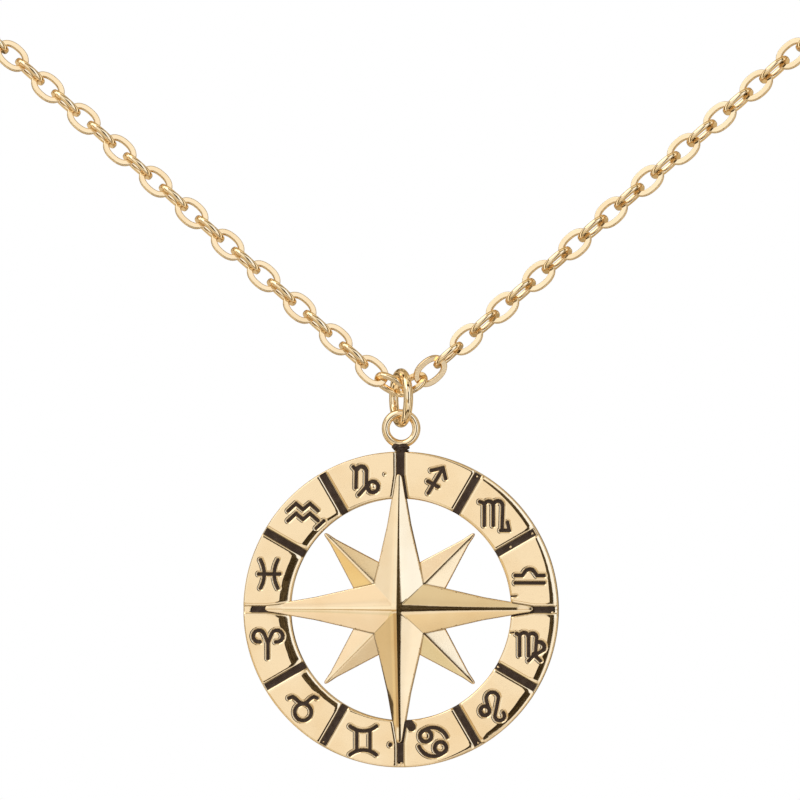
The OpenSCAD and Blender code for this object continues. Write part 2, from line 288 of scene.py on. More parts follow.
# Spots where the enamel ran over: the tile, the spot's line from the ring's middle, and half its width.
spots = [
    (5, [(0.88, -10.85), (1.08, -11.15)], 0.4),
    (6, [(-0.95, -12.82), (-0.96, -12.88)], 0.17),
    (2, [(10.45, 1.26), (11.05, 1.3)], 0.07),
    (3, [(10.5, -2.2), (10.8, -2.16)], 0.06),
    (11, [(-1.49, 12.86), (-1.49, 12.84)], 0.05),
    (10, [(-8.02, 7.72), (-7.3, 8.4)], 0.16),
]

# The slopes round the tiles. Each row is a turn from the top in degrees, the width of the gentle
# slope and the width of the steep slope, in mm, at the ring's outer and at its inner edge.
outer_slopes = np.array([
    (0, 0.05, 0.12), (16, 0.05, 0.14), (27, 0.08, 0.2), (33, 0.13, 0.3), (45, 0.21, 0.33),
    (58, 0.28, 0.33), (61, 0.12, 0.33), (63, 0.14, 0.35), (75, 0.26, 0.36), (88, 0.42, 0.36),
    (92, 0.43, 0.3), (105, 0.42, 0.29), (112, 0.5, 0.28), (119, 0.52, 0.28), (121, 0.58, 0.28),
    (127, 0.58, 0.28), (132, 0.5, 0.28), (141, 0.46, 0.28), (145, 0.4, 0.28), (149, 0.08, 0.28),
    (152, 0.28, 0.28), (155, 0.17, 0.26), (160, 0.13, 0.2), (166, 0.05, 0.15), (360, 0.05, 0.12),
])
inner_slopes = np.array([
    (0, 0.05, 0.22), (150, 0.05, 0.22), (180, 0.05, 0.18), (200, 0.05, 0.18), (208, 0.08, 0.22),
    (211, 0.46, 0.27), (215, 0.38, 0.28), (224, 0.38, 0.28), (228, 0.54, 0.28), (239, 0.56, 0.28),
    (241, 0.84, 0.28), (247, 0.8, 0.28), (252, 0.72, 0.28), (257, 0.66, 0.28), (262, 0.84, 0.28),
    (269, 0.84, 0.28), (271, 0.8, 0.28), (276, 0.8, 0.28), (289, 0.7, 0.28), (299, 0.76, 0.28),
    (301, 0.48, 0.28), (312, 0.46, 0.28), (319, 0.4, 0.28), (323, 0.26, 0.26), (329, 0.24, 0.24),
    (332, 0.06, 0.24), (345, 0.05, 0.24), (360, 0.05, 0.22),
])
side_gentle = 0.14
side_steep = 0.18
corner_gentle = 0.13
corner_reach = 0.55
wide_slope = 0.3
sign_gentle = 0.055
sign_steep = 0.12
gentle_start = 0.08
gentle_end = 0.235
rim_slope = 0.62
rim_roll = 0.09
groove_slope = 0.95
wall_slope = 6.0
residue_from = 0.055
residue_run = 0.05


def slope_drop(depth, gentle, steep, end_slope):
    """How far the face has dropped at this distance past the edge of a tile's level middle."""
    a = np.clip(depth, 0, gentle)
    b = np.clip(depth - gentle, 0, steep)
    c = np.clip(depth - gentle - steep, 0, None)
    drop = gentle_start * a + (gentle_end - gentle_start) / gentle * a * a / 2
    drop += gentle_end * b + (end_slope - gentle_end) / steep * b * b / 2
    return drop + wall_slope * c


def line_distance(p, lines):
    """Distance of the points from the edges of lines; a row of lines is x0, y0, x1, y1, half width."""
    start, along = lines[:, :2], lines[:, 2:4] - lines[:, :2]
    t = ((p[:, None] - start) * along).sum(2) / np.maximum((along**2).sum(1), 1e-9)
    nearest = start + np.clip(t, 0, 1)[..., None] * along
    return (np.linalg.norm(p[:, None] - nearest, axis=2) - lines[:, 4]).min(1)


def groove_axes(k):
    """The ways outwards along groove k and sideways across it."""
    a = math.radians(tile_turn * k)
    return np.array([math.sin(a), math.cos(a)]), np.array([math.cos(a), -math.sin(a)])


def across_groove(p, k):
    """Distance sideways and outwards along groove k."""
    way, aside = groove_axes(k)
    return p[:, 0] * aside[0] + p[:, 1] * aside[1], p[:, 0] * way[0] + p[:, 1] * way[1]


def groove_width(k, out):
    """Half the width of groove k, which is wider where a long tip of the star lies in it."""
    return groove_half[k % 12] + tip_flare.get(k % 12, 0) * np.clip(long_r - out, 0, None)


def groove_distance(p, k):
    side, out = across_groove(p, k)
    return np.maximum(np.abs(side) - groove_width(k, out), out - groove_end[k % 12])


tile_lines = []
for i, (turn, radius, strokes) in enumerate(signs):
    a = math.radians(turn)
    middle = radius * np.array([math.sin(a), math.cos(a)])
    rows = [
        (*(middle + p), *(middle + q), line_half)
        for stroke in strokes
        for p, q in zip(np.array(stroke[:-1]), np.array(stroke[1:]))
    ]
    rows += [(*line[0], *line[1], half) for tile, line, half in spots if tile == i]
    tile_lines.append(np.array(rows))


def rim_widths(turn, table):
    wobble = 1 + 0.03 * np.sin(np.radians(turn) * 23) + 0.015 * np.sin(np.radians(turn) * 57 + 2)
    return np.interp(turn, table[:, 0], table[:, 1]) * wobble, np.interp(turn, table[:, 0], table[:, 2])


def beside_rims(p):
    """For the outer and the inner rim: the points' distance from it, and its slopes' widths there."""
    r = np.linalg.norm(p, axis=1)
    turn = np.degrees(np.arctan2(p[:, 0], p[:, 1])) % 360
    tables = ((outer_slopes, ring_r - r), (inner_slopes, r - hole_r))
    return [(gap, *rim_widths(turn, table)) for table, gap in tables]


def rim_drop(p):
    """Drop of the slopes along the ring's outer and inner edges."""
    drop = 0
    for gap, gentle, steep in beside_rims(p):
        drop = drop + slope_drop(gentle + steep - gap, gentle, steep, rim_slope)
        drop = drop + rim_roll * np.clip(1 - gap / rim_roll, 0, 1) ** 2
    return drop


def near_corner(p):
    """Share of the wider rounding at the tiles' corners, where the slopes along the rim are wide."""
    most = 0
    for gap, gentle, steep in beside_rims(p):
        reach = np.clip(1 - (gap - gentle - steep) / corner_reach, 0, 1) ** 2
        most = np.maximum(most, reach * np.clip(gentle / wide_slope, 0, 1))
    return most


def cut_depth(p, i):
    """Depth of the grooves and signs of tile i below its face."""
    cut = 0
    limit = np.full(len(p), engrave_d)
    gentle = side_gentle + corner_gentle * near_corner(p)
    for k in (i, i + 1):
        beyond = gentle + side_steep - groove_distance(p, k)
        cut = cut + slope_drop(beyond, gentle, side_steep, groove_slope) ** 2
        if k % 12 in fill_end:
            side, out = across_groove(p, k)
            past = (out - fill_end[k % 12] + fill_slant.get(k % 12, 0) * side) / empty_run
            shallow = (engrave_d - empty_depth) * np.clip(past, 0, 1)
            limit = np.where(abs(side) < 1, limit - shallow, limit)
    beyond = sign_gentle + sign_steep - line_distance(p, tile_lines[i])
    cut = cut + slope_drop(beyond, sign_gentle, sign_steep, groove_slope) ** 2
    return np.minimum(np.sqrt(cut), limit)


def face_height(p, i):
    """Height of the ring's face over its back, at points of tile i."""
    hand = 0.0035 * np.sin(1.3 * p[:, 0] + 0.7 * p[:, 1] + 1) * np.sin(0.9 * p[:, 1] - 0.5 * p[:, 0])
    hand += 0.0007 * np.sin(9.3 * p[:, 0] + 4.1 * p[:, 1]) * np.sin(8.2 * p[:, 1] - 5.7 * p[:, 0])
    return ring_t - rim_drop(p) - cut_depth(p, i) + hand


def left_in_cut(p, i):
    """Share of black residue on the walls of the grooves and signs."""
    bare_end = 0
    for k in (i, i + 1):
        if k % 12 in fill_end:
            side, out = across_groove(p, k)
            bare_end = np.maximum(bare_end, (abs(side) < 1) * np.clip((out - fill_end[k % 12]) / 0.1, 0, 1))
    return np.clip((cut_depth(p, i) - residue_from) / residue_run, 0, 1) * (1 - bare_end)


def thin_out(points, size):
    """Keeps the first point in each small square."""
    cells = np.floor(points / size).astype(np.int64)
    first = np.unique(cells, axis=0, return_index=True)[1]
    return points[np.sort(first)]


def beside_lines(lines, gap, step):
    """Points all round the lines, at this distance from their edges."""
    found = []
    for x0, y0, x1, y1, half in lines:
        a, b = np.array([x0, y0]), np.array([x1, y1])
        length = max(np.linalg.norm(b - a), 1e-6)
        along = (b - a) / length
        across = np.array([-along[1], along[0]])
        reach = half + gap
        t = np.linspace(0, 1, max(2, int(length / step) + 1))[:, None]
        if reach > 0:
            found += [a + t * (b - a) + s * reach * across for s in (-1, 1)]
            turns = np.linspace(0, 2 * math.pi, max(6, int(6.3 * reach / step)), endpoint=False)
            ring = reach * np.stack([np.cos(turns), np.sin(turns)], 1)
            found += [a + ring, b + ring]
        else:
            found.append(a + t * (b - a))
    found = np.vstack(found)
    return found[line_distance(found, lines) > gap - 0.003]


def polar(p):
    """Arc length along the band and radius, in which a tile is a rectangle."""
    return np.stack([np.arctan2(p[:, 0], p[:, 1]) % (2 * math.pi), np.linalg.norm(p, axis=1)], 1)


def from_polar(q):
    return np.stack([q[:, 1] * np.sin(q[:, 0]), q[:, 1] * np.cos(q[:, 0])], 1)


def triangulate(flat):
    found = delaunay_2d_cdt([tuple(p) for p in flat], [], [], 0, 1e-7)
    return np.array([tuple(v) for v in found[0]]), np.array([f for f in found[2] if len(f) == 3])


def corner_normals(points, triangles, height):
    """Normals of the surface z = height(x, y), taken just inside each corner of each triangle."""
    flat = points[:, :2]
    middle = flat[triangles].mean(1, keepdims=True)
    at = (flat[triangles] + 0.12 * (middle - flat[triangles])).reshape(-1, 2)
    step = 0.0015
    dx, dy = np.array([step, 0]), np.array([0, step])
    slope_x = (height(at + dx) - height(at - dx)) / (2 * step)
    slope_y = (height(at + dy) - height(at - dy)) / (2 * step)
    n = np.stack([-slope_x, -slope_y, np.ones(len(at))], 1)
    return n / np.linalg.norm(n, axis=1, keepdims=True)


def upright(points, triangles):
    """The triangles, all turned to face the viewer."""
    a, b, c = (points[triangles[:, k], :2] for k in range(3))
    area = (b[:, 0] - a[:, 0]) * (c[:, 1] - a[:, 1]) - (b[:, 1] - a[:, 1]) * (c[:, 0] - a[:, 0])
    turned = triangles.copy()
    turned[area < 0] = turned[area < 0][:, ::-1]
    return turned[np.abs(area) > 1e-9]


def on_arc(turns, r):
    return np.stack([turns, r + 0 * turns], 1)


side_margin = 0.003
rim_margin = 0.015
sign_margin = 0.31
feature_cell = 0.034
face_cell = 0.024


def tile_part(i):
    """The face of one tile, up to the middles of the grooves on its two sides."""
    first, last = math.radians(tile_turn * i), math.radians(tile_turn * (i + 1))

    def between_sides(q):
        return (q[:, 0] > first + side_margin) & (q[:, 0] < last - side_margin)

    fine, plain = np.linspace(first, last, 121), np.linspace(first, last, 79)
    rims = [on_arc(fine, r) for r in (ring_r, hole_r)]
    fields, level_ends = [], []
    for table, edge, way in ((outer_slopes, ring_r, -1), (inner_slopes, hole_r, 1)):
        gentle, steep = rim_widths(np.degrees(plain), table)
        gaps = [steep + gentle * (1 - f) for f in (0, 0.12, 0.25, 0.4, 0.55, 0.7, 0.85, 1)]
        gaps += [steep * (1 - f) for f in (0.2, 0.4, 0.6, 0.8)]
        gaps += [0.02, 0.045, 0.07, 0.09, steep + gentle + 0.05]
        fields += [on_arc(plain, edge + way * gap) for gap in gaps]
        level_ends.append(edge + way * (gentle + steep + 0.12))
    for r in np.arange(hole_r + 0.3, ring_r - 0.2, 0.24):
        fields.append(on_arc(plain, r)[(r < level_ends[0]) & (r > level_ends[1])][::3])
    out = np.arange(hole_r, ring_r, 0.11)
    rims += [np.stack([turn + 0 * out, out], 1) for turn in (first, last)]
    features = []
    for k, s in ((i, 1), (i + 1, -1)):
        way, aside = groove_axes(k)
        for offset in (-0.09, -0.045, 0, 0.04, 0.08, 0.13, 0.18, 0.23, 0.28, 0.34, 0.4, 0.46):
            half = groove_width(k, out) + offset
            features.append(out[:, None] * way + s * half[:, None] * aside)
        for offset in (-0.06, 0, 0.05, 0.1, 0.15, 0.2, 0.28):
            side = np.linspace(0, groove_half[k % 12], 6)[:, None]
            features.append((groove_end[k % 12] + offset) * way + s * side * aside)
    for gap in (-0.1, -0.05, 0, 0.04, 0.08, 0.12, 0.16, 0.22, 0.28):
        features.append(beside_lines(tile_lines[i], gap, 0.085))
    features = polar(np.vstack(features))
    inside = (features[:, 1] > hole_r + rim_margin) & (features[:, 1] < ring_r - rim_margin)
    features = features[inside & between_sides(features)]
    fields = np.vstack(fields)
    keep = (line_distance(from_polar(fields), tile_lines[i]) > sign_margin) & between_sides(fields)
    scale = np.array([(ring_r + hole_r) / 2, 1])
    q = np.vstack(rims + [thin_out(features * scale, feature_cell) / scale, fields[keep]])
    flat, triangles = triangulate(thin_out(q * scale, face_cell))
    p = from_polar(flat / scale)
    points = np.column_stack([p, face_height(p, i)])
    triangles = upright(points, triangles)
    normals = corner_normals(points, triangles, lambda at: face_height(at, i))
    return points, triangles, normals, left_in_cut(p, i)


def strip_part(rows, closed=True, normals=None):
    """Quads between rows of points; a row's points lie side by side, and closed joins its two ends."""
    rows = np.asarray(rows, float)
    m, n = rows.shape[:2]
    near = np.arange(n if closed else n - 1)
    far = (near + 1) % n
    faces = np.concatenate([
        np.stack([k * n + near, k * n + far, (k + 1) * n + far, (k + 1) * n + near], 1)
        for k in range(m - 1)
    ])
    if normals is None:
        across = np.roll(rows, -1, 1) - np.roll(rows, 1, 1) if closed else np.gradient(rows, axis=1)
        n_all = np.cross(across, np.gradient(rows, axis=0))
        normals = n_all / np.maximum(np.linalg.norm(n_all, axis=2, keepdims=True), 1e-12)
    return rows.reshape(-1, 3), faces, np.asarray(normals).reshape(-1, 3)[faces.ravel()]


def new_object(name, data):
    made = bpy.data.objects.new(name, data)
    bpy.context.scene.collection.objects.link(made)
    return made


def make_piece(name, parts, material, body, node, place=hung, turn=hung_way):
    """Joins the parts into one mesh. A part is its points, faces and normals, and at will its share of dark
    residue and painted shade.
    """
    points, faces, normals, residue_and_shade = [], [], [], []
    count = 0
    for part in parts:
        points.append(part[0])
        faces += (part[1] + count).tolist()
        normals.append(part[2])
        residue_and_shade.append(part[3] if len(part) > 3 else np.zeros(len(part[0])))
        count += len(part[0])
    mesh = bpy.data.meshes.new(name)
    mesh.from_pydata(place(np.vstack(points)).tolist(), [], faces, shade_flat=False)
    mesh.normals_split_custom_set(turn(np.vstack(normals)).tolist())
    mesh.attributes.new("residue_and_shade", "FLOAT", "POINT").data.foreach_set("value", np.concatenate(residue_and_shade))
    mesh.materials.append(material)
    piece = new_object(name, mesh)
    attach(piece, body)
    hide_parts(node)


rim_steps = 1440


def rim_row(r, z):
    turns = np.radians(np.linspace(0, 360, rim_steps, endpoint=False))
    return np.stack([r * np.sin(turns), r * np.cos(turns), z + 0 * turns], 1)


def rim_heights(r):
    rows = rim_row(r, 0)[:, :2].reshape(12, -1, 2)
    return np.concatenate([face_height(row, i) for i, row in enumerate(rows)])


def lump(middle, size, seed):
    """A rough drop."""
    rng = np.random.default_rng(seed)
    wave_a, wave_b = rng.uniform(0, 6.28, (2, 3))
    a = np.linspace(0, 2 * math.pi, 28, endpoint=False)[None, :]
    b = np.linspace(0.02, math.pi - 0.02, 14)[:, None]
    rough = 1 + 0.1 * np.sin(3 * a + wave_a[0]) * np.sin(2 * b + wave_b[0])
    rough = rough + 0.07 * np.sin(5 * a + wave_a[1]) * np.sin(3 * b + wave_b[1])
    x, y, z = rough * np.sin(b) * np.cos(a), rough * np.sin(b) * np.sin(a), rough * np.cos(b) + 0 * a
    rows = np.stack([x * size[0], y * size[1], z * size[2]], 2) + middle
    return strip_part(rows[::-1])


# Beads of bare metal that show in the grooves: the groove, sideways and outwards in it, and the size.
beads = [
    (1, 0.02, 14.6, 0.11), (2, 0.1, 12.08, 0.13), (2, 0.02, 14.5, 0.12), (3, 0.28, 14.48, 0.13),
    (4, 0.05, 10.78, 0.12), (5, -0.1, 14.66, 0.1), (6, -0.1, 14.6, 0.12), (7, 0.06, 14.58, 0.09),
]
bead_sink = 0.13
bead_rise = 0.09
ring_parts = [tile_part(i) for i in range(12)]
for k, side, out, size in beads:
    way, aside = groove_axes(k)
    middle = (*(out * way + side * aside), ring_t - bead_sink)
    ring_parts.append(lump(middle, (size, size, bead_rise), k))
sides_and_back = [(ring_r, rim_heights(ring_r)), (ring_r, back_bevel), (ring_r - back_bevel, 0)]
sides_and_back += [(hole_r + back_bevel, 0), (hole_r, back_bevel), (hole_r, rim_heights(hole_r))]
for one, other in zip(sides_and_back, sides_and_back[1:]):
    ring_parts.append(strip_part([rim_row(*one), rim_row(*other)]))
make_piece("zodiac_ring", ring_parts, polished_gold, "pendant", "compass_pendant")

# Compass star
# Eight points of plated brass, cast in one with the ring: four long ones whose tips lie in the ring's
# recesses, and four short, lower ones between them. Their ridges are rounded by the polishing.
star_shift = np.array([-0.16, 0.08])
waist_r = 3.37
corner = waist_r / math.sqrt(2)
long_size = dict(tip=long_r, back=0.2, edge=1.55, top=2.6)
long_size.update(end_half=0.28, end_taper=0.171, end_round=0.35, nose_from=11.0, nose_rise=0.1)
short_size = dict(tip=10.08, back=0.3, edge=0.97, top=1.88)
short_size.update(end_half=0.13, end_taper=0.2, end_round=0.22, nose_from=9.1, nose_rise=0.03)
edge_round = 0.1
edge_fall = 0.05
peak_round = 0.1
ridge_fall = 0.15
bow = 0.004
alike_to = 3
melt_least = 0.0015
melt_more = 0.036
melt_r = 0.5


def star_fold(p, turn):
    """Distances along and across the nearest ridge, and the share of each of the four points."""
    a = math.radians(turn)
    x = p[:, 0] * math.cos(a) + p[:, 1] * math.sin(a)
    y = p[:, 1] * math.cos(a) - p[:, 0] * math.sin(a)
    r = np.hypot(x, y) + 1e-6
    share = np.clip(np.array([x, y, -x, -y]) / r, 0, None) ** 4 + 1e-9
    upright_one = abs(y) > abs(x)
    return np.where(upright_one, abs(y), abs(x)), np.where(upright_one, x, y), share / share.sum(0)


def point_half(u, size):
    """Half the width of a point of the star: straight sides, then a blunter nose with a round end."""
    left = np.clip(size["tip"] - u, 0, None)
    straight = corner * left / (size["tip"] - corner)
    t = np.clip(1 - left / size["end_round"], 0, 1)
    return np.maximum(straight, (size["end_half"] + size["end_taper"] * left) * np.sqrt(1 - t * t))


def star_edge(p, turn, size):
    """Distance inwards from the star's outline."""
    u, v, _ = star_fold(p, turn)
    run = size["tip"] - corner
    inwards = (point_half(u, size) - abs(v)) * run / math.hypot(run, corner)
    share = np.clip(abs(v) / (size["end_half"] + size["end_taper"] * size["end_round"]), 0, 1)
    from_end = size["tip"] - u - size["end_round"] * (1 - np.sqrt(1 - share**2))
    return np.where(share < 1, np.minimum(inwards, from_end), inwards)


def star_height(p, turn, ridges, push, size):
    """Height over the pendant's back. Each ridge has a rounding at its tip and at its root, and the
    four points melt into each other at the middle."""
    tip, top, edge = size["tip"], size["top"], size["edge"]
    pushed = p.copy()
    pushed[:, 0] -= push * np.exp(-((p[:, 0] / 1.2) ** 2)) * np.clip(1 - abs(p[:, 1]) / tip, 0, 1)
    u, v, share = star_fold(pushed, turn)
    own_ridge = (share[:, :, None] * np.array(ridges)[:, None, :]).sum(0)
    alike = np.mean(ridges, 0)
    at_tip, at_root = (alike + (own_ridge - alike) * np.clip(u / alike_to, 0, 1)[:, None] ** 2).T
    soft = at_tip + (at_root - at_tip) * np.clip(1 - u / tip, 0, 1) ** 2
    fall = (top - edge) / tip
    slope = (top - edge) * (1 - corner / tip) / corner

    def drop(along, across):
        peak = fall * (np.sqrt(along**2 + peak_round**2) - peak_round)
        return peak + slope * (np.sqrt(across**2 + soft**2) - ridge_fall) + bow * across**2

    own, beside = drop(u, v), drop(abs(v), u)
    melt = melt_least + melt_more * np.exp(-((u / melt_r) ** 2))
    fallen = own - melt * np.log1p(np.exp(-(beside - own) / melt))
    nose = np.clip((u - size["nose_from"]) / (tip - size["nose_from"]), 0, 1)
    inwards = np.clip(1 - star_edge(p, turn, size) / edge_round, 0, 1)
    return top - fallen - edge_fall * inwards**2 + size["nose_rise"] * nose**2 * (3 - 2 * nose)


def outline_rows(size, gaps):
    """One side of a point, from its tip to the waist, at these distances inwards."""
    u = size["tip"] - (size["tip"] - corner) * np.linspace(0, 1, int(size["tip"] / 0.13)) ** 1.6
    side = np.stack([u, point_half(u, size)], 1)
    along = np.gradient(side, axis=0)
    along /= np.linalg.norm(along, axis=1, keepdims=True)
    inward = np.stack([-along[:, 1], along[:, 0]], 1)
    return [side + gap * inward for gap in gaps]


def quarter_turns(turn):
    turns = np.radians(np.array([0, 90, 180, 270]) + turn)
    return [np.array([[math.cos(q), math.sin(q)], [-math.sin(q), math.cos(q)]]) for q in turns]


def star_parts(turn, ridges, push, size, residue_and_shade, more):
    quarter = []
    for v in (0, 0.03, 0.06, 0.1, 0.14, 0.19, 0.25, 0.33, 0.42, 0.55, 0.7, 0.9, 1.1, 1.35, 1.6, 1.9, 2.2):
        along = np.arange(v + 0.06, size["tip"], 0.08 if v < 0.3 else 0.2)
        quarter += [np.stack([along, np.full(len(along), side * v)], 1) for side in (-1, 1)]
    valley = np.arange(0, corner, 0.08)
    for gap in (0, 0.035, 0.07, 0.11):
        quarter += [np.stack([valley + gap, side * valley], 1) for side in (1, -1)]
    for row in outline_rows(size, (0, 0.03, 0.06, 0.1, 0.17, 0.26, 0.36, 0.46)):
        quarter += [row, row * (1, -1)]
    spins = quarter_turns(turn)
    p = np.vstack([np.vstack(quarter) @ spin for spin in spins] + list(more))
    p = p[star_edge(p, turn, size) > -1e-6]
    flat, triangles = triangulate(thin_out(p, 0.03))

    def height(at):
        return star_height(at, turn, ridges, push, size)

    points = np.column_stack([flat, height(flat)])
    triangles = upright(points, triangles)
    triangles = triangles[star_edge(flat[triangles].mean(1), turn, size) > 1e-5]
    # The face takes its dark lines and painted shade from the function given.
    face = (points, triangles, corner_normals(points, triangles, height), residue_and_shade(flat))
    line = outline_rows(size, (0,))[0]
    walls, rim = [], []
    for spin in spins:
        plus, minus = line @ spin, (line * (1, -1)) @ spin
        for side, order in ((plus, -1), (minus, 1)):
            high = np.column_stack([side, height(side)])
            low = np.column_stack([side, np.full(len(side), size["back"])])
            walls.append(strip_part([high[::order], low[::order]], closed=False))
        rim += [minus[::-1][:-1], plus[:-1]]
    rim = np.vstack(rim)
    count = len(rim)
    under_points = np.column_stack([np.vstack([np.zeros((1, 2)), rim]), np.full(count + 1, size["back"])])
    under_faces = np.array([(0, 1 + (k + 1) % count, 1 + k) for k in range(count)])
    under = (under_points, under_faces, np.tile((0.0, 0.0, -1.0), (3 * count, 1)))
    parts = [face] + walls + [under]
    return [(part[0] + (*star_shift, 0), *part[1:]) for part in parts]


def long_star_darkening(p):
    """Dark lines in three of the valleys, painted shade on the edges near the waist, and painted shade on
    the lowest point's left.
    """
    x, y = p.T
    r = np.hypot(x, y)
    valley = np.clip(1 - abs(abs(x) - abs(y)) / 0.065, 0, 1)
    first = np.where(x > 0, np.where(y > 0, 0.6, 0.9), np.where(y < 0, 1.7, 9.0))
    strong = np.where((x > 0) & (y > 0) & (r < 2.7), 1.0, 0.55)
    valley = valley * strong * np.clip((r - first) / 0.2, 0, 1)
    gap = star_edge(p, 0, long_size)
    # Painted shade along the long points' edges near the waist, where the short points meet their walls.
    waist_shade = 0.55 * np.clip(1 - gap / 0.06, 0, 1) * np.clip((5.6 - r) / 1.5, 0, 1)
    # Painted shade on the left of the lowest point; its width along the point is given here.
    shade_reach = np.interp(-y, (2.4, 4.0, 7.5, 8.9, 9.8, 11.4), (0.02, 0.05, 0.12, 0.42, 0.3, 0.0))
    lowest_shade = 0.9 * (x < 0) * (y < -2.4) * (y > -11.4) * np.clip((shade_reach - gap) / 0.08 + 0.5, 0, 1)
    return np.maximum(valley, np.maximum(waist_shade, lowest_shade))


def short_star_shadow(p):
    """Painted shadow: a dark line where the short points run in under the long ones."""
    return 0.8 * np.clip(1 + star_edge(p, 0, long_size) / 0.09, 0, 1)


# Ridges in the order east, north, west, south: the rounding at the tip and at the root. The polishing
# has pushed the upright ridge over to the left.
long_ridges = ((0.18, 0.49), (0.13, 0.54), (0.22, 0.51), (0.26, 0.56))
long_push = -0.2
grid = np.arange(-0.7, 0.7, 0.07)
middle = [np.stack(np.meshgrid(grid, grid), 2).reshape(-1, 2)]
long_parts = star_parts(0, long_ridges, long_push, long_size, long_star_darkening, middle)
make_piece("compass_star_long", long_parts, polished_gold, "pendant", "compass_pendant")
# The short points keep more of the grain of the casting. In the order north-east round to south-east.
cast_gold = gold("cast_gold", grain=1.6, pores=0.25, smooth=0.08, rough=0.2, bump=0.6)
short_ridges = ((0.1, 0.14), (0.12, 0.3), (0.1, 0.2), (0.1, 0.14))
seam = []
for row in outline_rows(long_size, (0, -0.03, -0.06, -0.1)):
    seam += [row_side @ spin for row_side in (row, row * (1, -1)) for spin in quarter_turns(0)]
short_parts = star_parts(45, short_ridges, 0.0, short_size, short_star_shadow, seam)
make_piece("compass_star_short", short_parts, cast_gold, "pendant", "compass_pendant")

# Loop
# A small round loop of plated brass wire. It is bent, closed and soldered upright on the ring's rim
# by a short neck.
loop_r = 1.46
loop_wire = 0.39
loop_y = 17.19
loop_z = 0.87


def wire_ring(radius, wire, around=96, section=32, ripple=0.0):
    """A ring of round wire in the X and Y plane, about the origin."""
    a = np.linspace(0, 2 * math.pi, around, endpoint=False)[None, :]
    b = np.linspace(0, 2 * math.pi, section + 1)[:, None]
    size = wire * (1 + ripple * np.sin(3 * a + 1) * np.cos(2 * b))
    r = radius + size * np.cos(b)
    rows = np.stack([r * np.cos(a), r * np.sin(a), size * np.sin(b) + 0 * a], 2)
    normals = np.stack([np.cos(b) * np.cos(a), np.cos(b) * np.sin(a), np.sin(b) + 0 * a], 2)
    return strip_part(rows, normals=normals)


points, faces, normals = wire_ring(loop_r, loop_wire, ripple=0.02)
loop_part = (points + (0, loop_y, loop_z), faces, normals)
neck_rows = []
a = np.linspace(0, 2 * math.pi, 32, endpoint=False)
for y, r in ((14.7, 0.66), (14.95, 0.62), (15.1, 0.6), (15.3, 0.6), (15.45, 0.6), (15.6, 0.55)):
    neck_rows.append(np.stack([r * np.sin(a), np.full(32, y), loop_z + r * np.cos(a)], 1))
neck_part = strip_part(neck_rows[::-1])
make_piece("pendant_loop", [loop_part, neck_part], polished_gold, "pendant", "compass_pendant")

# Black enamel
# Brown-black enamel, run into the signs and the grooves and wiped off the face. It shrank as it
# set, so it is lower in the middle of a line, and some of it stayed on the neck of the loop.
ENAMEL_DARK = (0.045, 0.023, 0.010, 1.0)
# A lighter brown for patches that paint the enamel's brownish sheen.
ENAMEL_SHEEN_BROWN = (0.15, 0.105, 0.072, 1.0)
enamel, tree = new_material("black_enamel")
place = position_in_mm(tree)
cast = use_group(tree, cast_group, Position=place, Grain=1.0, Pores=0.5)
# Painted reflection: lighter brown patches, spread at random, stand in for the enamel's brownish sheen.
sheen_patches = use_group(tree, tone_group, Position=place, Size=1.6)
cover(tree, {
    "Base Color": mix(tree, sheen_patches["Deep"], ENAMEL_DARK, ENAMEL_SHEEN_BROWN),
    "Roughness": ramp(tree, cast["Height"], 0.2, 0.8, 0.34, 0.58),
    "Specular IOR Level": 0.3,
    "Normal": relief(tree, cast["Height"], 0.5, 0.02),
})

fill_depth = 0.105
tip_fill_depth = 0.25
shrink = 0.05


def fill_height(p, i):
    depth = np.clip(-line_distance(p, tile_lines[i]) / line_half, 0, 1)
    return ring_t - rim_drop(p) - fill_depth - shrink * depth * (2 - depth)


def sign_enamel(i):
    lines = tile_lines[i]
    rows = [beside_lines(lines, gap, 0.09) for gap in (0.05, 0.0, -0.06, -0.13)]
    centres = np.vstack([lines[:, :2], lines[:, 2:4], (lines[:, :2] + lines[:, 2:4]) / 2])
    p = thin_out(np.vstack(rows + [centres]), 0.035)
    p = p[np.linalg.norm(p, axis=1) > hole_r + 0.01]
    flat, triangles = triangulate(p)
    points = np.column_stack([flat, fill_height(flat, i)])
    triangles = upright(points, triangles)
    triangles = triangles[line_distance(flat[triangles].mean(1), lines) < 0.045]
    return points, triangles, corner_normals(points, triangles, lambda at: fill_height(at, i))


def groove_enamel(k):
    """One filled groove, with an end face at the ring's inner edge."""
    way, aside = groove_axes(k)
    last = min(fill_end.get(k, groove_end[k] + 0.03), ring_r - 0.01)
    slant = fill_slant.get(k, 0)
    out = np.concatenate([[hole_r + 0.004], np.arange(hole_r + 0.08, last, 0.08), [last]])
    across = np.linspace(-1, 1, 9)
    rows = []
    for r in out:
        half = groove_width(k, r) + 0.02 + 0.012 * math.sin(9 * r + k)
        side = across * half
        shift = -slant * side * np.clip((r - last + 0.5) / 0.5, 0, 1)
        p = (r + shift)[:, None] * way + side[:, None] * aside
        depth = tip_fill_depth if k % 3 == 0 and r < long_r - 0.1 else fill_depth
        waver = 0.012 * math.sin(7 * r + 3 * k)
        rows.append(np.column_stack([p, ring_t - rim_drop(p) - depth + waver - shrink * (1 - across**2)]))
    end = rows[0].copy()
    end[:, 2] = ring_t - 2 * engrave_d
    return [strip_part(rows, closed=False), strip_part([end, rows[0]], closed=False)]


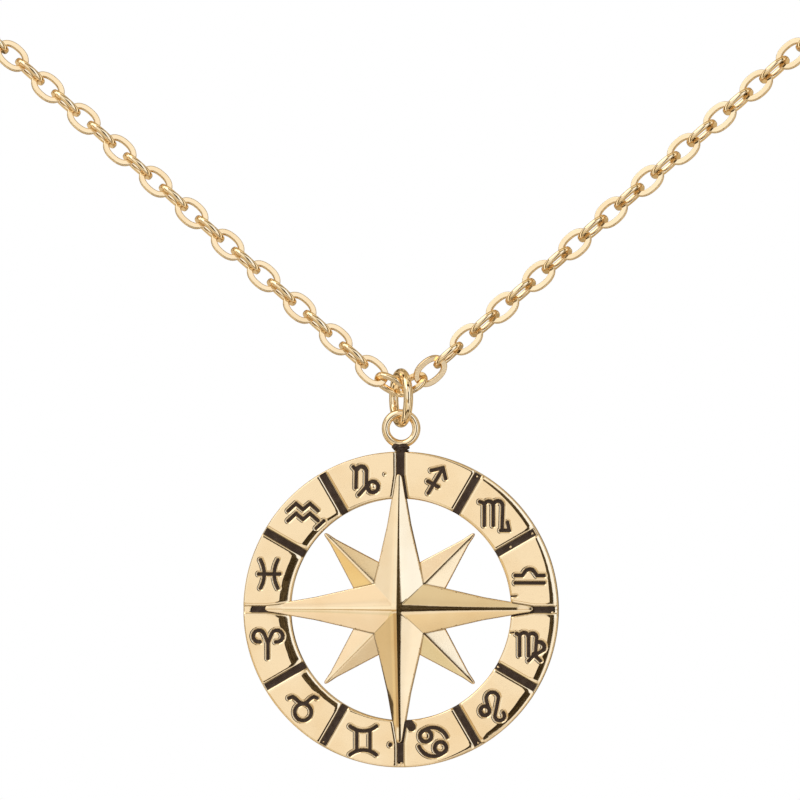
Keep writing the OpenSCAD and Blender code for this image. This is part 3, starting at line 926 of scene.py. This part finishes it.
# Drops on the neck: the middle, the half sizes and the seed.
drops = [
    ((-0.4, 15.43, 1.29), (0.44, 0.33, 0.27), 3),
    ((0.3, 15.4, 1.31), (0.5, 0.38, 0.28), 5),
    ((0.02, 15.1, 1.36), (0.46, 0.42, 0.2), 7),
    ((0.48, 15.06, 1.22), (0.34, 0.1, 0.2), 9),
]
enamel_parts = [sign_enamel(i) for i in range(12)]
for k in range(12):
    enamel_parts += groove_enamel(k)
enamel_parts += [lump(*drop) for drop in drops]
make_piece("black_enamel_fill", enamel_parts, enamel, "pendant", "black_enamel")

# Jump ring
# A ring of thick, round, plated brass wire. It is bent on a rod, cut, and closed by hand through the
# pendant's loop and both sides of the chain.
jump_wire = 0.45
jump_r = 2.37
jump_turn = math.radians(22)
jump_low, jump_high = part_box("jump_ring")
jump_middle = (jump_low + jump_high) / 2
jump_gold = gold("jump_ring_gold", grain=0.6, pores=0.5, smooth=0.05, rough=0.16, bump=0.5)


def jump_place(points):
    """The ring stands upright, with its axis turned from the X axis towards the back."""
    p = np.asarray(points, float)
    c, s = math.cos(jump_turn), math.sin(jump_turn)
    x = -s * p[..., 0] + c * p[..., 2]
    y = c * p[..., 0] + s * p[..., 2]
    return np.stack([x, y, p[..., 1]], axis=-1)


def jump_spot(points):
    return jump_place(points) * MM + np.array(jump_middle)


jump_part = wire_ring(jump_r, jump_wire, around=120, section=40, ripple=0.012)
make_piece("jump_ring_wire", [jump_part], jump_gold, "ring", "jump_ring", jump_spot, jump_place)

# Cable chain
# Each side is a flat cable chain of 97 oval links, bent from wire, closed and soldered, and then
# pressed flat on both faces. It hangs straight beside the pendant and goes round the neck.
side_links = 97
link_pitch = 2.286
link_l = 3.53
link_w = 2.53
link_band = 0.6
link_t = 0.5
link_side = 0.12
front_climb = 41.1
apex_climb = 28
side_climb = 12
front_links = 22
corner_links = 21
nape_links = 44
ease_links = 16
clasp_half = 4.4
clasp_t = 1.0
apex_slack = 0.1
link_lean = 18
first_rolls = {-1: [128], 1: [52, -15, 100]}


def ease(t):
    return t * t * (3 - 2 * t)


def heading(i, side):
    """The way of link i, in degrees from the front. It turns at the collar bones and round the nape."""
    turns = (front_links, front_links + corner_links, side_links - nape_links, side_links)
    return np.interp(i, turns, (0, side, side, 180))


def climb(i):
    """The slope of link i, in degrees: steep in front, gentle beside the neck and level at the nape."""
    if i == 1:
        return apex_climb
    gentle = ease(np.clip((i - front_links) / ease_links, 0, 1))
    level = ease(np.clip((i - side_links + nape_links) / nape_links, 0, 1))
    return (front_climb + (side_climb - front_climb) * gentle) * (1 - level)


def link_step(i, side):
    h, c = math.radians(heading(i, side)), math.radians(climb(i))
    return link_pitch * np.array([math.cos(c) * math.cos(h), math.cos(c) * math.sin(h), math.sin(c)])


first_climb = math.radians(apex_climb)
start = -apex_slack * np.array([math.cos(first_climb), 0, math.sin(first_climb)])
side_low, side_high = 60.0, 130.0
for _ in range(25):
    side_turn = (side_low + side_high) / 2
    reach = start[0] + sum(link_step(i, side_turn)[0] for i in range(1, side_links + 1))
    if reach > clasp_half:
        side_low = side_turn
    else:
        side_high = side_turn
joints = [start]
for i in range(1, side_links + 1):
    joints.append(joints[-1] + link_step(i, side_turn))
apex = np.array([0, clasp_t / 2 - joints[-1][1], -joints[-1][2]])


def link_part():
    """One link about its middle: an oval of flat wire with rounded edges, its faces across Z."""
    around = 40
    a = np.linspace(0, 2 * math.pi, around, endpoint=False)
    power = 2 / 2.25
    c, s = np.cos(a), np.sin(a)
    oval = np.stack([np.sign(c) * abs(c) ** power, np.sign(s) * abs(s) ** power], 1)
    middle = oval * ((link_l - link_band) / 2, (link_w - link_band) / 2)
    along = np.roll(middle, -1, 0) - np.roll(middle, 1, 0)
    along /= np.linalg.norm(along, axis=1, keepdims=True)
    outwards = np.stack([along[:, 1], -along[:, 0]], 1)
    rows, normals = [], []
    for k in range(4):
        for b in np.radians(90 * k + np.array([0, 30, 60, 90])):
            sx = 1 if k in (0, 3) else -1
            x = sx * (link_band / 2 - link_side) + link_side * math.cos(b)
            z = link_t / 2 * math.sin(b)
            rows.append(np.column_stack([middle + x * outwards, np.full(around, z)]))
            slant = np.array([math.cos(b) / link_side, math.sin(b) / (link_t / 2)])
            slant /= np.linalg.norm(slant)
            normals.append(np.column_stack([slant[0] * outwards, np.full(around, slant[1])]))
    rows.append(rows[0])
    normals.append(normals[0])
    return strip_part(rows, normals=normals)


def roll(i, s):
    if i <= len(first_rolls[s]):
        return first_rolls[s][i - 1]
    lean = link_lean * (1 - ease(max(0, i - front_links) / (side_links - front_links)))
    return 90 + lean if i % 2 == 1 else lean


def chain_parts(s):
    points, faces, normals = link_part()
    parts = []
    for i in range(1, side_links + 1):
        a, b = joints[i - 1], joints[i]
        way = (b - a) * (s, 1, 1) / np.linalg.norm(b - a)
        turn = math.radians(heading(i, side_turn))
        out = np.array([s * math.sin(turn), -math.cos(turn), 0])
        up = s * np.cross(out, way)
        lie = math.radians(roll(i, s))
        face = math.cos(lie) * out + math.sin(lie) * up
        axes = np.array([way, np.cross(face, way), face])
        middle = apex + (a + b) / 2 * (s, 1, 1)
        parts.append((points @ axes + middle, faces, normals @ axes))
    return parts


def in_metres(points):
    return points * MM


chain_gold = gold("chain_gold", grain=0.5, pores=0.15, smooth=0.04, rough=0.12, bump=0.35)
for node, s in (("chain_left", -1), ("chain_right", 1)):
    make_piece(node + "_links", chain_parts(s), chain_gold, "chain", node, in_metres, np.asarray)

# Clasp
# A plain flat clasp with an eye and a hook ring, hidden at the nape. It is stamped from brass sheet
# and plated like the chain, whose last links it joins.
clasp_gold = gold("clasp_gold", grain=0.6, pores=0.2, smooth=0.1, rough=0.22, bump=0.5)
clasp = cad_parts["clasp"]
clasp.data.materials.clear()
clasp.data.materials.append(clasp_gold)
softened = clasp.modifiers.new("softened_edges", "BEVEL")
softened.width = 0.12 * MM
softened.segments = 3
softened.limit_method = "ANGLE"

# Studio
# A white studio. Cards stand round the necklace outside the picture, and the polished metal shows
# them: a bright panel and a dark screen on the right, and dimmer, warmer cards above and below.
floor_z = -1.0
floor_mesh = bpy.data.meshes.new("floor")
floor_rim = [(0.7 * math.cos(a), 0.7 * math.sin(a), floor_z) for a in np.radians(np.arange(0, 360, 5))]
floor_mesh.from_pydata(floor_rim, [], [list(range(len(floor_rim)))])
floor = new_object("floor", floor_mesh)
floor_paint, tree = new_material("floor_paint")
clouds = noise(tree, add_node(tree, "ShaderNodeTexCoord").outputs["Object"], 3.0)
cover(tree, {"Base Color": ramp(tree, clouds, 0.3, 0.7, 0.8, 0.84), "Roughness": 0.8})
floor_mesh.materials.append(floor_paint)

world = bpy.data.worlds.new("studio")
world.use_nodes = True
bpy.context.scene.world = world
tree = world.node_tree
tree.nodes.clear()
way = add_node(tree, "ShaderNodeTexCoord").outputs["Generated"]
axis = add_node(tree, "ShaderNodeSeparateXYZ", {"Vector": way}).outputs

# Angles to the right of the viewer and upwards, in degrees, as the necklace sees the studio.
turned = maths(tree, "ARCTAN2", axis["X"], maths(tree, "MULTIPLY", axis["Y"], -1.0))
to_right = maths(tree, "MULTIPLY", turned, math.degrees(1))
upwards = maths(tree, "MULTIPLY", maths(tree, "ARCSINE", axis["Z"]), math.degrees(1))


def rise(value, low, high, first=0.0, last=1.0):
    return ramp(tree, value, low, high, first, last, "SMOOTHSTEP")


def between(value, first, last, soft):
    falling = rise(value, last, last + soft, 1.0, 0.0)
    return maths(tree, "MULTIPLY", rise(value, first - soft, first), falling)


def with_card(light, left, right, low, high, soft, colour):
    """The light with one more card laid over it."""
    share = maths(tree, "MULTIPLY", between(to_right, left, right, soft), between(upwards, low, high, soft))
    return mix(tree, share, light, colour)


# Each card: its left and right edges, its bottom and top, how soft its edges are, and its colour.
cards = [
    (-32, -9, -3, 14, 6, (1.04, 1.09, 1.16)),
    (-9, -2, -8, 8, 3, (0.95, 0.94, 0.94)),
    (-30, 0, -15, -7, 2.5, (0.6, 0.47, 0.3)),
    (-100, -30, -100, -4, 5, (0.73, 0.64, 0.48)),
    (-39, -31, -20, -12, 3, (0.92, 0.79, 0.49)),
    (-38, -32, 12, 20, 3, (1.08, 1.06, 1.1)),
    (-27, -17, -35, -22, 3, (0.78, 0.77, 0.63)),
    (-20, -9, -46, -34, 3, (0.99, 0.93, 0.89)),
    (-4, 6, -100, -34, 4, (0.87, 0.8, 0.67)),
    (7, 24, -100, -28, 3, (0.7, 0.66, 0.61)),
    (-24, -17, 24, 35, 2.5, (0.86, 0.81, 0.79)),
    (-20, -9, 35, 44, 3, (0.96, 0.91, 0.88)),
    (-34, -28, 22, 40, 2.5, (1.03, 1.06, 1.12)),
    (-2, 14, 27, 100, 3, (0.76, 0.72, 0.61)),
    (7, 14, 25, 34, 2, (0.82, 0.78, 0.69)),
    (17, 23, 23, 31, 2.5, (1.12, 1.13, 1.18)),
    (22, 46, -26, 1, 4, (1.06, 1.12, 1.27)),
    (24, 46, 1, 34, 5, (1.11, 1.26, 1.6)),
    (24, 44, 34, 44, 3, (1.05, 1.15, 1.3)),
    (-62, -37, 27, 100, 4, (0.45, 0.33, 0.18)),
    (-200, 200, 56, 100, 4, (0.78, 0.65, 0.42)),
    (-200, 200, 66, 73, 3, (1.1, 1.05, 0.95)),
    (-200, 200, 45, 52, 3, (0.07, 0.045, 0.018)),
    (-200, 200, -100, -56, 4, (0.6, 0.47, 0.27)),
    (-200, 200, -74, -66, 3, (1.0, 0.93, 0.8)),
    (-200, 200, -53, -46, 3, (0.06, 0.04, 0.016)),
    (-200, -60, -100, 100, 3, (0.52, 0.4, 0.23)),
    (-64, -54, -100, 100, 2, (0.06, 0.04, 0.016)),
    (-86, -71, -60, 60, 3, (1.25, 1.2, 1.1)),
    (-108, -93, -60, 60, 3, (0.04, 0.026, 0.011)),
    (-134, -114, -60, 60, 4, (1.05, 0.95, 0.78)),
    (54, 74, -100, 100, 4, (0.52, 0.4, 0.23)),
    (51, 59, -100, 100, 2, (0.05, 0.035, 0.014)),
    (74, 88, -60, 60, 3, (1.2, 1.16, 1.08)),
    (90, 200, -100, 100, 5, (0.52, 0.4, 0.22)),
    (95, 110, -60, 60, 3, (0.04, 0.026, 0.011)),
    (116, 136, -60, 60, 4, (1.0, 0.9, 0.72)),
]
light = (0.98, 0.98, 1.01, 1.0)
for *edges, colour in cards:
    light = with_card(light, *edges, (*colour, 1.0))
# The dark screen is of worn cloth, and the light on all the cards is a little uneven.
worn_share = rise(noise(tree, way, 21.0, 3.0), 0.45, 0.7)
cloth = mix(tree, worn_share, (0.030, 0.021, 0.010, 1.0), (0.17, 0.135, 0.08, 1.0))
light = with_card(light, 0, 20.5, -20.5, 23, 2, cloth)
strength = rise(noise(tree, way, 5.5, 1.0), 0.3, 0.7, 0.93, 1.07)
uneven = add_node(tree, "ShaderNodeVectorMath", {0: light, "Scale": strength}, operation="SCALE").outputs[0]
# The room behind the necklace is lit in blurred patches.
far_share = rise(noise(tree, way, 4.5), 0.38, 0.62)
far = mix(tree, far_share, (0.1, 0.065, 0.028, 1.0), (0.8, 0.65, 0.42, 1.0))
room = mix(tree, rise(axis["Y"], 0.25, 0.95), uneven, far)
seen = add_node(tree, "ShaderNodeBackground", {"Color": (1.0, 1.0, 1.0, 1.0)}).outputs[0]
studio = add_node(tree, "ShaderNodeBackground", {"Color": room}).outputs[0]
to_camera = add_node(tree, "ShaderNodeLightPath").outputs["Is Camera Ray"]
mixed = add_node(tree, "ShaderNodeMixShader", {0: to_camera, 1: studio, 2: seen}).outputs[0]
tree.links.new(mixed, tree.nodes.new("ShaderNodeOutputWorld").inputs["Surface"])

lamp_data = bpy.data.lights.new("soft_lamp", "AREA")
lamp_data.shape = "DISK"
lamp_data.size = 1.2
lamp_data.energy = 6.0
lamp = new_object("soft_lamp", lamp_data)
lamp.location = (-0.9, -0.9, 1.1)
lamp.rotation_euler = (math.radians(48), 0, math.radians(-45))

# Camera
# The camera is level with the jump ring and a little to its right, and looks through a long lens.
# The picture is square.
frame_width = 0.07605
distance = 1.0
camera_turn = math.radians(5)
camera_data = bpy.data.cameras.new("camera")
camera_data.lens = camera_data.sensor_width * distance / frame_width
camera_data.clip_end = 20
camera = new_object("camera", camera_data)
look_at = (-0.0001, apex[1] * MM, -0.06652)
camera.location = (
    look_at[0] + distance * math.sin(camera_turn),
    look_at[1] - distance * math.cos(camera_turn),
    look_at[2],
)
camera.rotation_euler = (math.radians(90), 0, camera_turn)
bpy.context.scene.camera = camera
bpy.context.scene.view_settings.view_transform = "Standard"
